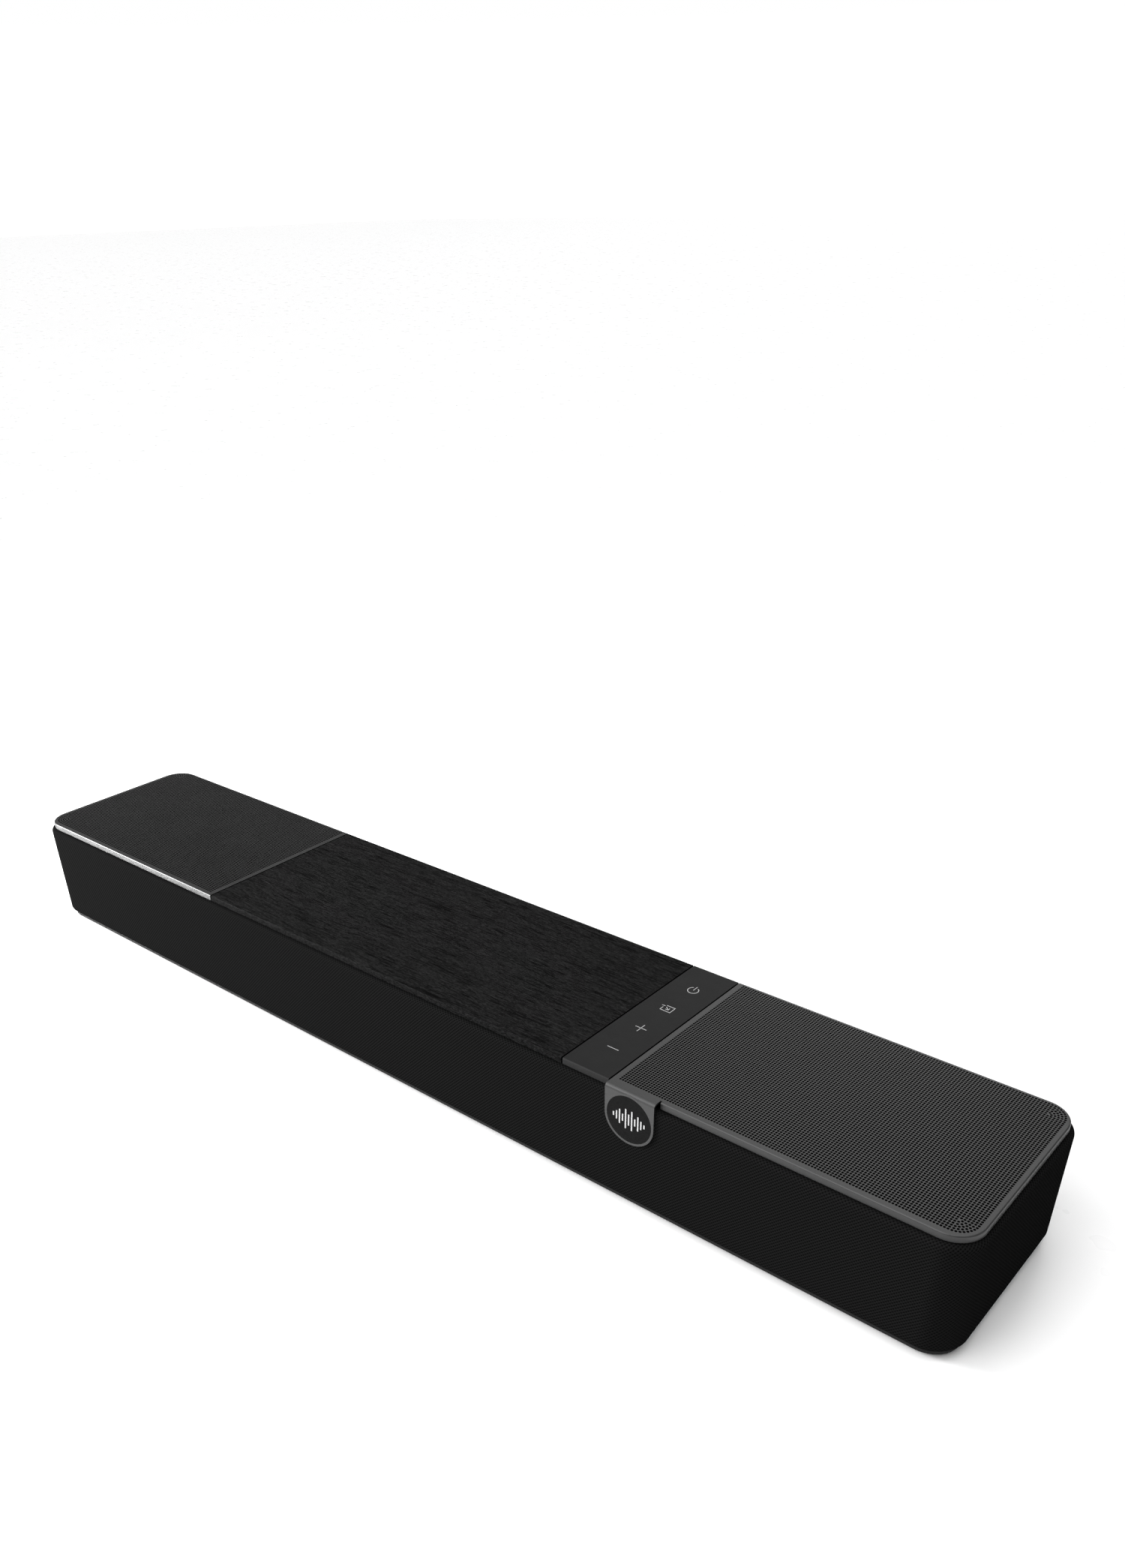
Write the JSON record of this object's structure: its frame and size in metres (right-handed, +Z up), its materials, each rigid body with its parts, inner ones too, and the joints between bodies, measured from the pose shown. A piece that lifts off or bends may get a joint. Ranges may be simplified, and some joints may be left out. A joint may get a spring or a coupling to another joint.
{
  "type": "soundbar",
  "caption": "Low black soundbar with perforated metal ends, black wood centre and touch-pad strip on top, cloth-wrapped sides and a round badge tab over the front edge.",
  "frame": {"origin": "middle of the footprint, on the surface that the four feet stand on", "axes": "+X along the bar towards the control strip's end, -Y the way it faces the listener, +Z up"},
  "size_m": [0.7112, 0.1255, 0.075],
  "materials": {
    "grille_cloth": "matte diagonal acoustic weave",
    "grille_metal": "satin black paint, perforated",
    "black_wood": "black open-pore veneer, matte",
    "control_face": "fine satin texture",
    "badge_face": "satin black with a silver mark",
    "base_plastic": "fine moulded texture",
    "foot_rubber": "matte",
    "frame_plastic": "matte",
    "cover_plastic": "fine moulded texture",
    "cabinet_plastic": "matte",
    "key_plastic": "matte",
    "brass_insert": "knurled",
    "basket_steel": "black powder coat",
    "zinc_steel": "zinc plated",
    "ferrite": "sintered, dull",
    "cone_pulp": "coated pulp",
    "surround_rubber": "matte",
    "spider_cloth": "resin-dipped cloth",
    "foam_gasket": "closed-cell foam",
    "circuit_board": "solder mask",
    "transformer_core": "taped winding",
    "capacitor_sleeve": "shrink sleeve",
    "heatsink_aluminium": "extruded",
    "socket_steel": "nickel plated",
    "socket_plastic": "moulded",
    "wire_sleeve": "soft sleeve",
    "screw_steel": "black zinc"
  },
  "bodies": {
    "housing": {"base_tray": "base_plastic", "rubber_feet": "foot_rubber", "cabinet": "cabinet_plastic", "top_deck": "cabinet_plastic", "top_frame": "frame_plastic", "grille_frame": "frame_plastic", "grille_fabric": "grille_cloth", "rear_cover": "cover_plastic", "wall_mount_inserts": "brass_insert", "left_top_grille": "grille_metal", "right_top_grille": "grille_metal", "wood_panel": "black_wood", "control_strip": "control_face", "badge_disc": "badge_face", "control_board": "circuit_board", "driver_gaskets": "foam_gasket", "main_board": "circuit_board", "power_board": "circuit_board", "transformer": "transformer_core", "capacitors": "capacitor_sleeve", "amplifier_heatsink": "heatsink_aluminium", "hdmi_socket": "socket_steel", "usb_socket": "socket_steel", "optical_socket": "socket_plastic", "subwoofer_socket": "socket_plastic", "ac_inlet": "socket_plastic", "indicator_board": "circuit_board", "speaker_wires": "wire_sleeve", "case_screws": "screw_steel", "driver_screws": "screw_steel", "left_subwoofer_basket": "basket_steel", "left_subwoofer_front_plate": "zinc_steel", "left_subwoofer_magnet": "ferrite", "left_subwoofer_yoke": "zinc_steel", "left_subwoofer_surround": "surround_rubber", "left_subwoofer_spider": "spider_cloth", "left_full_range_basket": "basket_steel", "left_full_range_front_plate": "zinc_steel", "left_full_range_magnet": "ferrite", "left_full_range_yoke": "zinc_steel", "left_full_range_surround": "surround_rubber", "right_subwoofer_basket": "basket_steel", "right_subwoofer_front_plate": "zinc_steel", "right_subwoofer_magnet": "ferrite", "right_subwoofer_yoke": "zinc_steel", "right_subwoofer_surround": "surround_rubber", "right_subwoofer_spider": "spider_cloth", "right_full_range_basket": "basket_steel", "right_full_range_front_plate": "zinc_steel", "right_full_range_magnet": "ferrite", "right_full_range_yoke": "zinc_steel", "right_full_range_surround": "surround_rubber"},
    "left_subwoofer_cone": {"left_subwoofer_cone": "cone_pulp"},
    "left_full_range_cone": {"left_full_range_cone": "cone_pulp"},
    "right_subwoofer_cone": {"right_subwoofer_cone": "cone_pulp"},
    "right_full_range_cone": {"right_full_range_cone": "cone_pulp"},
    "key_power": {"key_power": "key_plastic"},
    "key_input": {"key_input": "key_plastic"},
    "key_volume_up": {"key_volume_up": "key_plastic"},
    "key_volume_down": {"key_volume_down": "key_plastic"}
  },
  "joints": [
    {"name": "left_subwoofer_excursion", "type": "slide", "parent": "housing", "child": "left_subwoofer_cone", "axis": [0, 0, 1], "range_m": [-0.004, 0.004], "stiffness_N_per_m": 1100, "deforming": ["left_subwoofer_surround", "left_subwoofer_spider"]},
    {"name": "left_full_range_excursion", "type": "slide", "parent": "housing", "child": "left_full_range_cone", "axis": [0, -1, 0], "range_m": [-0.0015, 0.0015], "stiffness_N_per_m": 1500, "deforming": ["left_full_range_surround"]},
    {"name": "right_subwoofer_excursion", "type": "slide", "parent": "housing", "child": "right_subwoofer_cone", "axis": [0, 0, 1], "range_m": [-0.004, 0.004], "stiffness_N_per_m": 1100, "deforming": ["right_subwoofer_surround", "right_subwoofer_spider"]},
    {"name": "right_full_range_excursion", "type": "slide", "parent": "housing", "child": "right_full_range_cone", "axis": [0, -1, 0], "range_m": [-0.0015, 0.0015], "stiffness_N_per_m": 1500, "deforming": ["right_full_range_surround"]},
    {"name": "key_power_press", "type": "slide", "parent": "housing", "child": "key_power", "axis": [0, 0, -1], "range_m": [0, 0.0004], "stiffness_N_per_m": 2500},
    {"name": "key_input_press", "type": "slide", "parent": "housing", "child": "key_input", "axis": [0, 0, -1], "range_m": [0, 0.0004], "stiffness_N_per_m": 2500},
    {"name": "key_volume_up_press", "type": "slide", "parent": "housing", "child": "key_volume_up", "axis": [0, 0, -1], "range_m": [0, 0.0004], "stiffness_N_per_m": 2500},
    {"name": "key_volume_down_press", "type": "slide", "parent": "housing", "child": "key_volume_down", "axis": [0, 0, -1], "range_m": [0, 0.0004], "stiffness_N_per_m": 2500}
  ]
}
